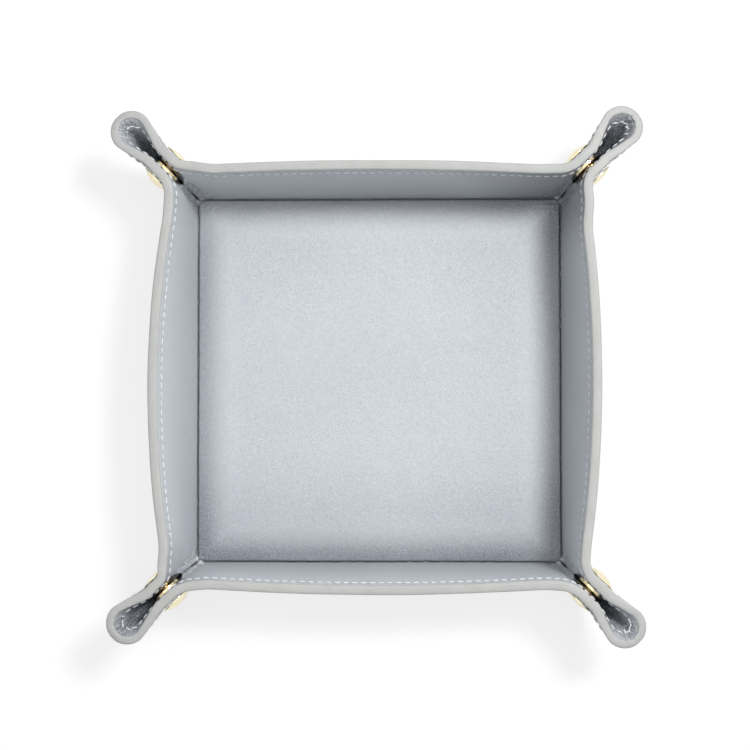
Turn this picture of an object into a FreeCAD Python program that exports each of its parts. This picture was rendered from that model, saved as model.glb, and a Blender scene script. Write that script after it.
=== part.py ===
import FreeCAD, Part
import math
import os

V = FreeCAD.Vector
os.makedirs("parts", exist_ok=True)

# Driving sizes in mm, +Z up, tray centred on the origin and resting on z = 0
base_side = 138.0
rim_height = 37.0
outer_leather = 1.2
stiffener = 0.9
lining_leather = 1.2
fold_gap = 0.3
overrun = 20.0

# Rim line of the walls: how far the top edge turns in at its ends, in degrees
side_wall_end_slope_deg = 8.2
end_wall_end_slope_deg = 2.6

# Corner loop at the rim, inner face of the leather, measured out along the diagonal from the base corner
rim_pinch_out = 10.4
rim_pinch_half_gap = 1.6
rim_pinch_flat = 6.0
rim_bend_radius = 11.3
rim_flank_spread_deg = 17.9
rim_nose_radius = 5.2
nose_drift_share = 0.27
loop_drop = 3.4

# Corner loop at its foot, just above the base panel
foot_rise = 0.5
foot_pinch_half_gap = 1.2
foot_pinch_flat = 2.0
foot_bend_spare = 0.7
foot_nose_spare = 0.1
foot_flank_spread_deg = 7.0
foot_wall_offset = 0.2

# Stiffener boards stop short of the leather
board_inset = 2.0
base_corner_radius = 3.0

# Press-studs: cap and socket on one side of the pinch, stud and back cap on the other
snap_below_rim = 9.0
snap_shift = 1.2
cap_diameter = 12.5
back_cap_diameter = 11.6
cap_edge = 0.5
cap_dome = 1.7
back_cap_dome = 1.0
cap_standoff = 0.6
cap_clearance = 0.35
barrel_diameter = 3.4
barrel_clearance = 0.2
ring_diameter = 10.5
ring_gap = 0.15
socket_thickness = 1.05
socket_bore = 5.0
socket_lip = 0.4
stud_thickness = 0.7
stud_head_diameter = 3.8
stud_head_length = 1.3
stud_neck_diameter = 3.2

# Directions of the diagonal frame
quarter_turn_deg = 90.0
half_corner = math.radians(quarter_turn_deg / 2)
diagonal = V(math.cos(half_corner), math.sin(half_corner), 0)
across = V(-math.sin(half_corner), math.cos(half_corner), 0)
up = V(0, 0, 1)
origin = V(0, 0, 0)

# Derived sizes
sheet = outer_leather + stiffener + lining_leather
half_base = base_side / 2
foot_height = sheet + foot_rise
half_gap = fold_gap / 2
wall_bands = {
    "lining": (0, lining_leather),
    "board": (lining_leather, lining_leather + stiffener),
    "outer": (lining_leather + stiffener, sheet),
}
loop_bands = {"lining": (0, sheet / 2), "outer": (sheet / 2, sheet)}
corner_names = ["back_right", "back_left", "front_left", "front_right"]
wall_names = ["right", "back", "left", "front"]
wall_slopes = [side_wall_end_slope_deg, end_wall_end_slope_deg] * 2


class Level:
    """One horizontal cut through half a corner loop: bend, flat pinch, flare, flank and nose."""

    def __init__(self, height, pinch, gap, flat, bend, spread, nose_radius):
        self.height = height
        self.pinch = pinch
        self.gap = gap
        self.flat = flat
        self.bend = bend
        self.nose_radius = nose_radius
        spread = math.radians(spread)
        flank_start = self.flare_point(spread, 0)
        flank_run = (nose_radius * math.cos(spread) - flank_start[1]) / math.tan(spread)
        self.nose = flank_start[0] + flank_run + nose_radius * math.sin(spread)

    def bend_point(self, heading, offset):
        radius = self.bend - offset
        return (self.pinch + radius * math.sin(heading), self.gap + self.bend - radius * math.cos(heading))

    def flare_point(self, heading, offset):
        along, aside = self.bend_point(heading, offset)
        return (along + self.flat, aside)

    def nose_point(self, heading, offset):
        radius = self.nose_radius + offset
        middle = self.nose + nose_drift_share * offset
        return (middle - radius * math.sin(heading), radius * math.cos(heading))

    def flank_heading(self, offset):
        run = self.nose + nose_drift_share * offset - self.pinch - self.flat
        fall = self.gap + self.bend
        reach = self.bend + self.nose_radius
        return math.asin(reach / math.hypot(run, fall)) - math.atan2(fall, run)


rim_pinch = half_base / math.cos(half_corner) + rim_pinch_out
rim = Level(rim_height, rim_pinch, rim_pinch_half_gap, rim_pinch_flat, rim_bend_radius,
            rim_flank_spread_deg, rim_nose_radius)
foot_bend = sheet + foot_bend_spare
foot_side = foot_pinch_half_gap + foot_bend
foot_pinch = (half_base + foot_wall_offset + foot_bend) / math.cos(half_corner) - foot_side
foot = Level(foot_height, foot_pinch, foot_pinch_half_gap, foot_pinch_flat, foot_bend,
             foot_flank_spread_deg, foot_pinch_half_gap + foot_nose_spare)


arc_shares = (0, 1 / 2, 1)


def place(along, aside, height, side):
    return diagonal * along + across * (aside * side) + up * height


def edge(points):
    """Straight edge through two points, arc through three."""
    if len(points) == len(arc_shares):
        return Part.Arc(*points).toShape()
    return Part.LineSegment(*points).toShape()


def loop_wire(level, band, slope, side):
    """Closed outline of one leather layer of half a corner loop at one level."""
    curves = []
    for offset in band:
        flank = level.flank_heading(offset)
        start = half_gap / level.bend - half_corner - math.radians(slope)
        tip = -math.acos(half_gap / (level.nose_radius + offset))
        runs = [
            [level.bend_point(start * (1 - share), offset) for share in arc_shares],
            [level.bend_point(0, offset), level.flare_point(0, offset)],
            [level.flare_point(flank * share, offset) for share in arc_shares],
            [level.flare_point(flank, offset), level.nose_point(flank, offset)],
            [level.nose_point(flank + (tip - flank) * share, offset) for share in arc_shares],
        ]
        curves.append([[place(a, b, level.height, side) for a, b in run] for run in runs])
    inner, outer = curves
    runs = inner + [[inner[-1][-1], outer[-1][-1]]]
    runs += [run[::-1] for run in reversed(outer)] + [[outer[0][0], inner[0][0]]]
    return Part.Wire([edge(run) for run in runs])


def solid_of(shape):
    solid = shape.Solids[0] if shape.Solids else Part.Solid(shape.Shells[0])
    if solid.Volume < 0:
        solid.reverse()
    return solid


def export(shape, name, turns=0):
    turned = shape.copy()
    turned.rotate(origin, up, quarter_turn_deg * turns)
    turned.exportStep("parts/" + name + ".step")
    print(name, round(turned.Volume, 1), turned.isValid())


# Snap axis: across the pinch, below the rim
snap_height = rim_height - snap_below_rim
snap_rise_share = (snap_height - foot_height) / (rim_height - foot_height)


def between(low, high):
    return low + (high - low) * snap_rise_share


snap_pinch = between(foot.pinch, rim.pinch)
snap_reach = snap_pinch + between(foot.flat, rim.flat) / 2 + snap_shift
snap_inner = between(foot.gap, rim.gap)
snap_outer = snap_inner + sheet
cap_under = snap_outer + cap_standoff


def snap_at(aside, side):
    return place(snap_reach, aside, snap_height, side)


def disc(radius, start, length, side):
    return Part.makeCylinder(radius, length, snap_at(start, side), across * side)


def dome(radius, start, rise, side):
    """Spherical cap whose flat face sits at the given distance from the pinch plane."""
    sphere_radius = (radius * radius + rise * rise) / (2 * rise)
    ball = Part.makeSphere(sphere_radius, snap_at(start + rise - sphere_radius, side))
    return ball.common(disc(radius, start, rise + cap_edge, side))


# Top of each loop slopes down from the pinch to the nose
loop_tip = rim.nose + nose_drift_share * sheet + rim.nose_radius + sheet
slope_run = loop_tip - rim.pinch + overrun
slope_fall = loop_drop * slope_run / (loop_tip - rim.pinch)
trim_profile = Part.makePolygon([
    place(rim.pinch, -overrun, rim_height, 1),
    place(rim.pinch + slope_run, -overrun, rim_height - slope_fall, 1),
    place(rim.pinch + slope_run, -overrun, rim_height + overrun, 1),
    place(rim.pinch, -overrun, rim_height + overrun, 1),
    place(rim.pinch, -overrun, rim_height, 1),
])
loop_trim = Part.Face(trim_profile).extrude(across * (overrun + overrun))


def loop_half(band, slope, side):
    """One layer of half a corner loop: ruled from foot to rim, trimmed and pierced."""
    body = Part.makeLoft([loop_wire(foot, band, 0, side), loop_wire(rim, band, slope, side)], True, True)
    body = solid_of(body).cut(loop_trim)
    body = body.cut(disc(barrel_diameter / 2 + barrel_clearance, 0, overrun, side))
    recess = disc(cap_diameter / 2 + cap_clearance, cap_under - cap_clearance, overrun, side)
    return solid_of(body.cut(recess))


# Base panel: three stacked layers with mitred, rounded edges
def base_face(height, inset):
    run = half_base + (sheet - height) * mitre_share - fold_gap - inset
    plate = Part.makeBox(run * 2, run * 2, sheet, V(-run, -run, height))
    uprights = [e for e in plate.Edges if abs(e.Vertexes[0].Z - e.Vertexes[1].Z) > half_gap]
    rounded = plate.makeFillet(base_corner_radius, uprights)
    lowest = min(rounded.Faces, key=lambda face: face.CenterOfMass.z)
    return lowest.OuterWire


wall_lean = math.atan2(rim_pinch_out * math.cos(half_corner), rim_height)
mitre_share = 1 / math.cos(wall_lean) - math.tan(wall_lean)


def base_layer(low, high, inset):
    return solid_of(Part.makeLoft([base_face(low, inset), base_face(high, inset)], True, True))


# Wall panel: ruled from the straight fold line to the bowed rim, outward along +X
def wall_axes(point):
    """Outward and along-wall places of a point given along and aside of the diagonal."""
    return ((point[0] + point[1]) * math.cos(half_corner), (point[0] - point[1]) * math.cos(half_corner))


def wall_layer(band, slope):
    heading = -half_corner - math.radians(slope)
    low_along = wall_axes(foot.bend_point(-half_corner, 0))[1] - half_gap
    chord_out, chord_along = wall_axes(rim.bend_point(heading, 0))
    middle_out = chord_out + chord_along * math.tan(math.radians(slope / 2))
    low = []
    high = []
    for offset in band:
        fold = V(half_base + mitre_share * offset, 0, sheet - offset)
        low.append([fold - V(0, low_along, 0), fold + V(0, low_along, 0)])
        end_out, end_along = wall_axes(rim.bend_point(heading, offset))
        end_along = end_along - half_gap
        middle = V(middle_out + offset, 0, rim_height)
        high.append([V(end_out, -end_along, rim_height), middle, V(end_out, end_along, rim_height)])
    lower = Part.makePolygon([low[0][0], low[0][1], low[1][1], low[1][0], low[0][0]])
    upper = Part.Wire([
        edge(high[0]),
        edge([high[0][-1], high[1][-1]]),
        edge(high[1][::-1]),
        edge([high[1][0], high[0][0]]),
    ])
    return solid_of(Part.makeLoft([lower, upper], True, True))


def wall_board(band, slope):
    """Stiffener between the leathers, short of the panel's ends and rim."""
    panel = wall_layer(band, slope)
    foot_end = wall_axes(foot.bend_point(-half_corner, 0))[1]
    rim_end = wall_axes(rim.bend_point(-half_corner, sheet))[1]
    run = min(foot_end, rim_end) - board_inset
    corner = V(0, -run, sheet)
    room = Part.makeBox(panel.BoundBox.XMax, run * 2, rim_height - board_inset - sheet, corner)
    return solid_of(panel.common(room))


# Base
export(base_layer(0, outer_leather, 0), "base_outer")
export(base_layer(outer_leather, outer_leather + stiffener, board_inset), "base_board")
export(base_layer(outer_leather + stiffener, sheet, 0), "base_lining")

# Walls
for turns, wall in enumerate(wall_names):
    for layer, band in wall_bands.items():
        make = wall_board if layer == "board" else wall_layer
        export(make(band, wall_slopes[turns]), "wall_" + wall + "_" + layer, turns)

# Corner loops, the half beside the cap and the half beside the stud
for turns, corner in enumerate(corner_names):
    for half, side in (("cap", 1), ("stud", -1)):
        neighbour = turns + 1 if side > 0 else turns
        slope = wall_slopes[neighbour % len(wall_slopes)]
        for layer, band in loop_bands.items():
            export(loop_half(band, slope, side), "loop_" + corner + "_" + half + "_" + layer, turns)

# Cap: low dome on a rolled edge with a barrel through the leather
ring_face = snap_inner - ring_gap
cap_body = disc(cap_diameter / 2, cap_under, cap_edge, 1)
cap_body = cap_body.fuse(dome(cap_diameter / 2, cap_under + cap_edge, cap_dome, 1))
cap_body = cap_body.fuse(disc(barrel_diameter / 2, ring_face, cap_under - ring_face, 1)).removeSplitter()

# Socket: ring with a bore for the stud and a lip round its mouth
socket_front = ring_face - socket_thickness
socket_body = disc(ring_diameter / 2, socket_front, socket_thickness, 1)
bore_length = overrun + socket_thickness - socket_lip
socket_body = socket_body.cut(disc(socket_bore / 2, socket_front - overrun, bore_length, 1))

# Stud: flange, neck and head that enter the bore from the other side
stud_front = ring_face - stud_thickness
stud_body = disc(ring_diameter / 2, stud_front, stud_thickness, -1)
half_head = stud_head_length / 2
stud_neck = stud_front - half_head
stud_body = stud_body.fuse(disc(stud_neck_diameter / 2, stud_neck, half_head, -1))
stud_body = stud_body.fuse(disc(stud_head_diameter / 2, stud_neck - half_head, half_head, -1))
stud_body = stud_body.removeSplitter()

# Back cap: plainer, smaller disc on the outside of the stud half
post_body = disc(back_cap_diameter / 2, cap_under, cap_edge, -1)
post_body = post_body.fuse(dome(back_cap_diameter / 2, cap_under + cap_edge, back_cap_dome, -1))
post_body = post_body.fuse(disc(barrel_diameter / 2, ring_face, cap_under - ring_face, -1)).removeSplitter()

for turns, corner in enumerate(corner_names):
    export(cap_body, "snap_" + corner + "_cap", turns)
    export(socket_body, "snap_" + corner + "_socket", turns)
    export(stud_body, "snap_" + corner + "_stud", turns)
    export(post_body, "snap_" + corner + "_post", turns)
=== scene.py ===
# %% [markdown]
# # A leather valet tray with four snapped corners
# The real tray is one square of leather sandwich: a smooth silver lining, thin boards, and an outer leather.
# Four press-studs pinch its corners into loops, and that alone makes the walls stand up.
# We load the imported CAD model first. It is the fixed frame: it says where every piece is and what moves.
# We never move it. We only dress it.

# %% Load the frame
import math

import bpy
import numpy as np
from mathutils import Matrix, Vector
from mathutils.kdtree import KDTree


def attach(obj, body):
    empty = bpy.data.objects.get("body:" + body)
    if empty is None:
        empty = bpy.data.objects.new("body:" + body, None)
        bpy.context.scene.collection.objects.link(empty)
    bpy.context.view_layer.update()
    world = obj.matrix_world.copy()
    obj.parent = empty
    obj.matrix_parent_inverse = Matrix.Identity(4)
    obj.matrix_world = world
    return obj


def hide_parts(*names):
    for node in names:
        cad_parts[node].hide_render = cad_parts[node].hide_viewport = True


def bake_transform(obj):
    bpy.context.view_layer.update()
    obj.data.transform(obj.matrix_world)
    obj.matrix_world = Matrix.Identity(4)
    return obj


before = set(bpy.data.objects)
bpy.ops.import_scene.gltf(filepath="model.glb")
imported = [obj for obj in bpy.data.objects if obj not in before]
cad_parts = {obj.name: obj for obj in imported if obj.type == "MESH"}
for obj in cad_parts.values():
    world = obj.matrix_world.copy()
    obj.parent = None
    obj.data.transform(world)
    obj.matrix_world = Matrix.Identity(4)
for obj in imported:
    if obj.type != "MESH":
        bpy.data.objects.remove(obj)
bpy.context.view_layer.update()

scene = bpy.context.scene

# %% [markdown]
# ## The sizes of the sheet
# A leather worker thinks of the tray as a flat sheet with fold lines, so these are the sizes of the sheet.
# They are the same sizes that the CAD model has, in metres. The inner face of the sheet is offset 0,
# and the outer face lies one sheet thickness further out.

# %% Sizes of the sheet and of the tray
half_base = 0.069
rim_height = 0.037
lining_leather = 0.0012
stiffener = 0.0009
outer_leather = 0.0012
sheet = lining_leather + stiffener + outer_leather
foot_height = sheet + 0.0005
half_corner = math.radians(45)
diagonal_share = math.cos(half_corner)
wall_names = ["right", "back", "left", "front"]
corner_names = ["back_right", "back_left", "front_left", "front_right"]
side_slope = math.radians(8.2)
end_slope = math.radians(2.6)
wall_slopes = [side_slope, end_slope, side_slope, end_slope]
print("sheet thickness in mm:", round(sheet * 1000, 2))

# %% [markdown]
# ## One cut through a corner loop
# Seen from above, the leather leaves the wall, bends round into the pinch, runs flat under the press-stud,
# flares out again and turns round a nose back to the other half. We could trace that line by hand.
# It is safer to write it as arcs and straight runs, because the same few sizes then give the inner face,
# the outer face and everything between, and the two faces stay one thickness apart.
# Each run has a fixed count of columns, so that cuts at different heights can be joined point to point.

# %% The cut as columns of points
bend_columns = 16
flat_columns = 8
flare_columns = 5
flank_columns = 12
nose_columns = 60
nose_drift = 0.00089
pinch_middle = bend_columns + flat_columns // 2
nose_start = bend_columns + flat_columns + flare_columns + flank_columns
nose_tip = nose_start + nose_columns


def shares(count):
    return np.arange(count) / count


class LoopCut:
    """One horizontal cut through half a corner loop, in places along and aside of the diagonal."""

    def __init__(self, height, pinch, gap, flat, bend, spread, nose_radius, nose_thin):
        self.height = height
        self.nose_thin = nose_thin
        self.pinch = pinch
        self.gap = gap
        self.flat = flat
        self.bend = bend
        self.nose_radius = nose_radius
        along, aside = self.bend_points(np.array([spread]), 0)[0]
        run = (nose_radius * math.cos(spread) - aside) / math.tan(spread)
        self.nose = along + flat + run + nose_radius * math.sin(spread)

    def bend_points(self, headings, offset):
        radius = self.bend - offset
        aside = self.gap + self.bend - radius * np.cos(headings)
        return np.column_stack([self.pinch + radius * np.sin(headings), aside])

    def nose_reach(self, offset):
        return self.nose_radius + self.nose_thin + offset * (1 - self.nose_thin / sheet)

    def nose_points(self, headings, offset):
        radius = self.nose_reach(offset)
        middle = self.nose + nose_drift * offset / sheet
        return np.column_stack([middle - radius * np.sin(headings), radius * np.cos(headings)])

    def flank_heading(self, offset):
        run = self.nose + nose_drift * offset / sheet - self.pinch - self.flat
        fall = self.gap + self.bend
        reach = self.bend - offset + self.nose_reach(offset)
        return math.asin(reach / math.hypot(run, fall)) - math.atan2(fall, run)

    def half(self, offset, slope):
        """Every column from the wall's end to the tip of the nose, and one past it."""
        start = -half_corner - slope
        flank = self.flank_heading(offset)
        past_flat = np.array([self.flat, 0])
        bend = self.bend_points(start * (1 - shares(bend_columns)), offset)
        pinch = self.bend_points(np.zeros(1), offset)
        flat = pinch + shares(flat_columns)[:, None] * past_flat
        flare = self.bend_points(flank * shares(flare_columns), offset) + past_flat
        flank_ends = [self.bend_points(np.array([flank]), offset) + past_flat]
        flank_ends.append(self.nose_points(np.array([flank]), offset))
        run = flank_ends[0] + shares(flank_columns)[:, None] * (flank_ends[1] - flank_ends[0])
        turn = (-math.pi / 2 - flank) / nose_columns
        nose = self.nose_points(flank + turn * np.arange(nose_columns + 2), offset)
        return np.vstack([bend, flat, flare, run, nose])


rim_pinch = half_base / diagonal_share + 0.0104
rim_cut = LoopCut(height=rim_height, pinch=rim_pinch, gap=0.0016, flat=0.006, bend=0.0113,
                  spread=math.radians(17.9), nose_radius=0.0052, nose_thin=0.0007)
foot_gap = 0.0012
foot_bend = sheet + 0.0007
foot_pinch = (half_base + 0.0002 + foot_bend) / diagonal_share - foot_gap - foot_bend
foot_cut = LoopCut(height=foot_height, pinch=foot_pinch, gap=foot_gap, flat=0.002, bend=foot_bend,
                   spread=math.radians(7), nose_radius=foot_gap + 0.0001, nose_thin=0)
loop_tip = rim_cut.nose + nose_drift + rim_cut.nose_radius + sheet
print("half loop:", nose_tip, "columns, tip at", round(loop_tip * 1000, 1), "mm along the diagonal")

# %% [markdown]
# ## One petal of leather
# A wall with half a loop at each end is one petal of the sheet. We make it as a grid: columns run along the wall
# and round both half loops, rows climb from the fold to the rim. A subdivision surface could give the same form,
# but a grid keeps exact places.
# First we count the columns and rows, and give each column its share of the bend, the flank and the nose.

# %% Columns and rows of a petal
wall_columns = 110
root_rows = 8
panel_rows = 40
edge_rows = 18
edge_share = 0.86
half_columns = nose_tip + 2
wall_left = half_columns - 1
wall_right = wall_left + wall_columns
column_count = wall_right + half_columns
wall_shares = np.linspace(-1, 1, wall_columns + 1)[1:-1]
panel_shares = np.arange(panel_rows) * edge_share / panel_rows
row_shares = np.concatenate([panel_shares, np.linspace(edge_share, 1, edge_rows)])
half_steps = np.arange(half_columns)


def ramp(value, low, high):
    """A soft step from 0 at low to 1 at high."""
    share = np.clip((value - low) / (high - low), 0, 1)
    return share * share * (3 - 2 * share)


def straight_share(first, last):
    """How far each column of half a loop lies between two columns, from 0 to 1."""
    return np.clip((half_steps - first) / (last - first), 0, 1)


def on_both_ends(half_share, wall_share=0, mirror=1):
    """A share given along half a loop, set on both ends of the petal, with another on the wall."""
    wall = np.full(wall_columns - 1, wall_share)
    return np.concatenate([mirror * half_share[::-1], wall, half_share])


nose_share = straight_share(nose_start, nose_tip)
nose_column = on_both_ends(nose_share)
on_nose = nose_column[:, None]
past_pinch = straight_share(bend_columns + flat_columns, nose_start)
which_end = on_both_ends(np.ones(half_columns), mirror=-1)
aside_way = np.column_stack([np.abs(which_end), -which_end, np.zeros(column_count)]) * diagonal_share
along_way = np.column_stack([np.abs(which_end), which_end, np.zeros(column_count)]) * diagonal_share
print("petal:", column_count, "columns by", root_rows + len(row_shares), "rows")

# %% [markdown]
# ### Points of a petal
# Two cuts hold the upper part of the petal. Below them a smooth curve carries each column down to its root at
# the base, the way leather rolls over a fold. The rim falls towards the nose. The fall depends on the reach
# and the reach on the fall, so it is worked out in a few rounds. Below the rim the loop is hollow.

# %% Points of a petal
loop_drop = 0.0034
drop_ease = 0.06
drop_rounds = 4
loop_tilt = 0.0008
loop_hollow = 3.0
hollow = 1 + loop_hollow * on_both_ends(past_pinch)
fold_along = (foot_cut.pinch - foot_cut.gap - foot_cut.bend) * diagonal_share


def unit(vectors):
    """The same directions, each of length 1."""
    return vectors / np.linalg.norm(vectors, axis=-1, keepdims=True)


def travelled(points):
    """Distance along a line of points, from its start to each of them."""
    steps = np.linalg.norm(np.diff(points, axis=0), axis=1)
    return np.concatenate([[0], np.cumsum(steps)])


def both_ends(half):
    """Half loops at both ends of a wall, as places outward of and along the wall."""
    outward = (half[:, 0] + half[:, 1]) * diagonal_share
    along = (half[:, 0] - half[:, 1]) * diagonal_share
    right = np.column_stack([outward, along])
    return right[::-1] * np.array([1, -1]), right


def petal_cut(cut, offset, slope):
    left, right = both_ends(cut.half(offset, slope))
    outward, along = right[0]
    if slope:
        radius = along / math.sin(slope)
        turn = wall_shares * slope
        middle = outward - radius * math.cos(slope)
        wall = np.column_stack([middle + radius * np.cos(turn), radius * np.sin(turn)])
    else:
        wall = np.column_stack([np.full(len(wall_shares), outward), wall_shares * along])
    flat = np.vstack([left, wall, right])
    return np.column_stack([flat, np.full(len(flat), cut.height)])


def petal_root(outward, height):
    """Where the petal leaves the base: straight along the wall, an arc round each base corner."""
    run = travelled(rim_cut.half(0, 0))
    turn = half_corner * (1 - run / run[nose_tip])
    radius = outward - fold_along
    arc = np.column_stack([np.cos(turn), np.sin(turn)])
    half = np.array([fold_along / diagonal_share, 0]) + radius * arc
    left, right = both_ends(half)
    wall = np.column_stack([np.full(len(wall_shares), outward), wall_shares * fold_along])
    leave_left, leave_right = both_ends(arc)
    leave_wall = np.column_stack([np.ones(len(wall_shares)), np.zeros(len(wall_shares))])
    flat = np.vstack([left, wall, right])
    leave = np.vstack([leave_left, leave_wall, leave_right])
    return np.column_stack([flat, np.full(len(flat), height)]), np.column_stack([leave, np.zeros(len(leave))])


def petal_grid(offset, slope, root_form):
    """Points of one face of a petal, columns by rows.

    The form of its root is its reach and height, and how far out and up it leaves the base.
    """
    root_outward, root_height, leave_out, leave_up = root_form
    root, outward = petal_root(root_outward, root_height)
    foot = petal_cut(foot_cut, offset, 0)
    rise = petal_cut(rim_cut, offset, slope) - foot
    top = np.ones(column_count)
    for _ in range(drop_rounds):
        along = (foot + rise * top[:, None])[:, :2]
        reach = (along[:, 0] + np.abs(along[:, 1])) * diagonal_share
        past = np.maximum(reach - rim_cut.pinch, 0) / (loop_tip - rim_cut.pinch)
        drop = loop_drop * (np.sqrt(past * past + drop_ease * drop_ease) - drop_ease)
        drop = drop + loop_tilt * offset / sheet * nose_column
        top = 1 - drop / (rim_height - foot_height)
    climb = top[:, None] * row_shares
    aside = np.sum(rise * aside_way, axis=1)[:, None] * (climb ** hollow[:, None] - climb)
    upper = foot[:, None] + rise[:, None] * climb[:, :, None] + aside_way[:, None] * aside[:, :, None]
    length = np.linalg.norm(foot - root, axis=1, keepdims=True)
    leave = (outward * leave_out + np.array([0, 0, leave_up])) * length
    arrive = unit(upper[:, 1] - upper[:, 0]) * length
    share = shares(root_rows)[None, :, None]
    lower = (
        root[:, None] * (1 - 3 * share**2 + 2 * share**3)
        + leave[:, None] * (share - 2 * share**2 + share**3)
        + foot[:, None] * (3 * share**2 - 2 * share**3)
        + arrive[:, None] * (share**3 - share**2)
    )
    return np.concatenate([lower, upper], axis=1)


print("base corners turn round points", round(fold_along * 1000, 2), "mm out")

# %% [markdown]
# ### No two walls alike
# The tray is made by hand. Each wall leans in or out by about a millimetre and flares where it goes over into a
# bend, and each loop sways its own way. The lean is given at both ends and in the middle of a wall. A flare is
# given by its size and by where along the wall it starts. Both fade out towards the foot and in the bends.

# %% Leaning walls and swaying loops
wall_lean = {
    "right": (-0.00105, -0.001, -0.00105),
    "back": (-0.001, -0.0005, -0.0005),
    "left": (-0.0007, 0.0006, 0.0004),
    "front": (-0.0009, -0.0004, -0.00105),
}
end_flare = {
    "right": ((0.0007, 0.0595), (0.002, 0.052)),
    "back": ((0.0006, 0.0575), (0.0018, 0.0575)),
    "left": ((0.0008, 0.0575), (0.0022, 0.0595)),
    "front": ((0.0014, 0.0595), (0.0012, 0.0595)),
}
flare_reach = 0.014
lean_reach = 0.052
lean_limit = 1.1
lean_column = on_both_ends(1 - ramp(half_steps, 0, bend_columns), wall_share=1)
loop_sway = {
    "back_right": (-0.0002, 0.0015, 0),
    "back_left": (-0.0005, 0.0006, 0),
    "front_left": (-0.0012, 0, 0),
    "front_right": (0, -0.0009, 0),
}


def turn_quarter(points, turns):
    cosine = round(math.cos(turns * math.pi / 2))
    sine = round(math.sin(turns * math.pi / 2))
    return points @ np.array([[cosine, sine, 0], [-sine, cosine, 0], [0, 0, 1]])


def leaning_petal(turns, offset, root_form):
    """One face of a petal whose rim stands a little in or out."""
    grid = petal_grid(offset, wall_slopes[turns], root_form)
    start, middle, end = wall_lean[wall_names[turns]]
    place = np.clip(grid[:, :, 1] / lean_reach, -lean_limit, lean_limit)
    lean = middle + (end - start) / 2 * place + ((end + start) / 2 - middle) * place * place
    climb = np.clip((grid[:, :, 2] - foot_height) / (rim_height - foot_height), 0, 1)
    for way, (amount, begin) in zip((-1, 1), end_flare[wall_names[turns]]):
        lean += amount * ramp(way * grid[:, :, 1], begin, begin + flare_reach)
    grid[:, :, 0] += lean * climb * lean_column[:, None]
    ends = (
        (corner_names[turns], slice(wall_right, None), past_pinch),
        (corner_names[turns - 1], slice(0, half_columns), past_pinch[::-1]),
    )
    for corner, columns, share in ends:
        sway = turn_quarter(np.array(loop_sway[corner]), -turns)
        grid[columns] += (share[:, None] * climb[columns])[:, :, None] * sway
    return grid


def outward_normals(grid):
    return unit(np.cross(np.gradient(grid, axis=0), np.gradient(grid, axis=1)))


largest_lean = max(abs(lean) for leans in wall_lean.values() for lean in leans)
print("largest lean:", round(largest_lean * 1000, 2), "mm")

# %% [markdown]
# ## Life in the leather
# Real leather is never a clean surface. Thread pulls a shallow valley along the seam, the cut edge is
# burnished round, the lining drops a little where a board ends, and it crumples where it is squeezed.
# These shapes show in the outline and catch the light, so we move the points instead of leaving it to bump.
# Sums of sine waves in fixed directions are enough, and they come out alike on every run.

# %% Waves, steps and valleys
seam_depth = 0.0034
nose_seam_drop = 0.0008
seam_valley = 0.00014
seam_width = 0.0006
edge_roll = 0.00012
edge_roll_width = 0.0012
board_step = 0.00045
board_step_width = 0.0014
board_low_end = 0.0622
board_slant_top = 0.026
board_slant_bend = 1.5
wave_count = 14
rng = np.random.default_rng(7)
wave_directions = unit(rng.normal(size=(wave_count, 3)))
wave_phases = rng.uniform(0, 2 * math.pi, wave_count)
wave_stretches = rng.uniform(0.7, 1.5, wave_count)


def waves(points, length):
    """Smooth bumps about one wave length across, between about -1 and 1."""
    angle = points @ (wave_directions * wave_stretches[:, None]).T * (2 * math.pi / length) + wave_phases
    return np.sin(angle).sum(axis=-1) / 4


def below_rim(grid):
    """Distance of each point from the rim, down its column."""
    steps = np.linalg.norm(np.diff(grid, axis=1), axis=2)
    climbed = np.concatenate([np.zeros((len(grid), 1)), np.cumsum(steps, axis=1)], axis=1)
    return climbed[:, -1:] - climbed


def rim_places(grid):
    """Distance of each column along the rim from the middle of the wall."""
    run = travelled(grid[:, -1])
    return run - run[(wall_left + wall_right) // 2]


def past_board(grid):
    """How far along the sheet a point lies past the slanting end of the wall board."""
    column_place = np.abs(rim_places(grid))
    high_end = column_place[wall_right + bend_columns]
    climb = np.clip((grid[:, :, 2] - sheet) / (board_slant_top - sheet), 0, 1)
    board_end = board_low_end + (high_end - board_low_end) * climb**board_slant_bend
    return column_place[:, None] - board_end


def seam_and_edge(grid):
    """How deep the seam's valley and the rolled edge lie below the plain face."""
    depth = below_rim(grid)
    off_seam = depth - seam_depth - nose_seam_drop * on_nose
    valley = seam_valley * np.exp(-((off_seam / seam_width) ** 2))
    roll = edge_roll * np.clip(1 - depth / edge_roll_width, 0, 1) ** 2
    return valley + roll


print("seam", seam_depth * 1000, "mm below the rim")

# %% [markdown]
# ## From grids to closed pieces
# Each leather piece is a thin closed slab between a front grid and a back grid. Neighbouring pieces share the
# same grid, so we hand the mesh the normals of the whole grid. Without that, each piece would shade its own
# border and the fold lines between pieces would show as stripes.

# %% Piece, slab and tube builders
def new_piece(name, points, faces, material, normals=None):
    mesh = bpy.data.meshes.new(name)
    mesh.from_pydata(points, [], faces)
    if normals is not None:
        mesh.normals_split_custom_set(normals.reshape(-1, 3).tolist())
    mesh.materials.append(material)
    piece = bpy.data.objects.new(name, mesh)
    scene.collection.objects.link(piece)
    return piece


def flat_normals(points, faces):
    normal = np.cross(points[faces[:, 2]] - points[faces[:, 0]], points[faces[:, 3]] - points[faces[:, 1]])
    normal /= np.maximum(np.linalg.norm(normal, axis=1, keepdims=True), 1e-12)
    return np.repeat(normal[:, None], 4, axis=1)


def grid_quads(index):
    corners = [index[:-1, :-1], index[1:, :-1], index[1:, 1:], index[:-1, 1:]]
    return np.stack(corners, axis=-1).reshape(-1, 4)


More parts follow.
